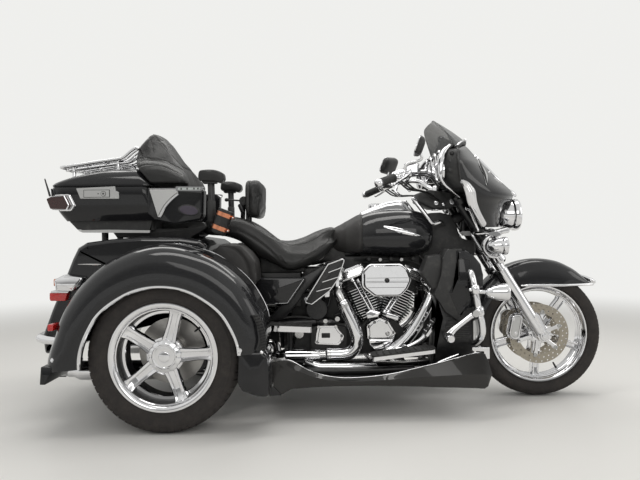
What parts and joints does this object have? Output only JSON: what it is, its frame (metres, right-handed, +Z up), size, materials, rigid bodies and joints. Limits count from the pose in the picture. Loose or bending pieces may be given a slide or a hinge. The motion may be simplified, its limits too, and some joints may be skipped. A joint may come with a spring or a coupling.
{
  "type": "touring motor trike",
  "caption": "Three-wheeled touring motorcycle with steering front end, fairing, V engine, padded seats, hinged travel box and trunk between fendered rear wheels.",
  "frame": {"origin": "on the ground under the middle of the machine", "axes": "+X forward, +Y to the rider's left, +Z up"},
  "size_m": [2.7439, 1.39, 1.41],
  "materials": {
    "tyre": "matt black rubber",
    "chrome": "bright chrome",
    "disc": "drilled steel disc",
    "black_paint": "gloss black paint",
    "black_shell": "gloss black shell",
    "black_metal": "satin black metal",
    "black_plastic": "matt black plastic",
    "leather": "black leather",
    "smoke": "smoked screen"
  },
  "bodies": {
    "chassis": {"frame": "black_metal", "rear_axle": "black_metal", "engine_case": "black_metal", "cylinders": "black_metal", "engine_covers": "chrome", "air_cleaner": "chrome", "exhaust": "chrome", "fuel_tank": "black_paint", "tank_console": "chrome", "seat": "leather", "rider_backrest": "leather", "rear_fender_right": "black_paint", "rear_fender_left": "black_paint", "mud_flaps": "black_plastic", "trunk_body": "black_shell", "tail_lamps": "chrome", "rear_bumper": "chrome", "travel_box_base": "black_shell", "travel_box_mount": "black_plastic", "armrests": "leather", "armrest_posts": "black_metal", "side_covers": "black_paint", "side_pouches": "leather", "cup_holder": "black_plastic", "footboards": "chrome", "foot_levers": "chrome", "engine_guard": "chrome", "lower_fairings": "black_shell", "side_skirts": "black_shell"},
    "front_end": {"fork": "chrome", "front_fender": "black_paint", "front_calipers": "disc", "fairing_outer": "black_shell", "fairing_inner": "black_plastic", "windshield": "smoke", "headlamp": "chrome", "passing_lamps": "chrome", "handlebar": "chrome", "mirrors": "chrome"},
    "front_wheel": {"front_tyre": "tyre", "front_rim": "chrome", "front_discs": "disc"},
    "rear_wheel_right": {"rear_right_tyre": "tyre", "rear_right_rim": "chrome", "rear_disc_right": "disc"},
    "rear_wheel_left": {"rear_left_tyre": "tyre", "rear_left_rim": "chrome", "rear_disc_left": "disc"},
    "box_lid": {"travel_box_lid": "black_shell", "luggage_rack": "chrome", "passenger_backrest": "leather"},
    "tail_door": {"trunk_door": "black_shell"}
  },
  "joints": [
    {"name": "steering", "type": "hinge", "parent": "chassis", "child": "front_end", "pos_m": [0.70085, 0, 0.925], "axis": [-0.4384, 0, 0.8988], "range_deg": [-30, 30]},
    {"name": "front_wheel_spin", "type": "hinge", "parent": "front_end", "child": "front_wheel", "pos_m": [1.052, 0, 0.32], "axis": [0, 1, 0], "continuous": true},
    {"name": "rear_right_spin", "type": "hinge", "parent": "chassis", "child": "rear_wheel_right", "pos_m": [-0.713, -0.5375, 0.324], "axis": [0, 1, 0], "continuous": true},
    {"name": "rear_left_spin", "type": "hinge", "parent": "chassis", "child": "rear_wheel_left", "pos_m": [-0.713, 0.5375, 0.324], "axis": [0, 1, 0], "continuous": true},
    {"name": "box_lid_hinge", "type": "hinge", "parent": "chassis", "child": "box_lid", "pos_m": [-1, 0.298, 1.06815], "axis": [-1, 0, 0], "range_deg": [0, 100]},
    {"name": "tail_door_hinge", "type": "hinge", "parent": "chassis", "child": "tail_door", "pos_m": [-1.30993, 0, 0.42358], "axis": [0, -1, 0], "range_deg": [0, 110]}
  ]
}
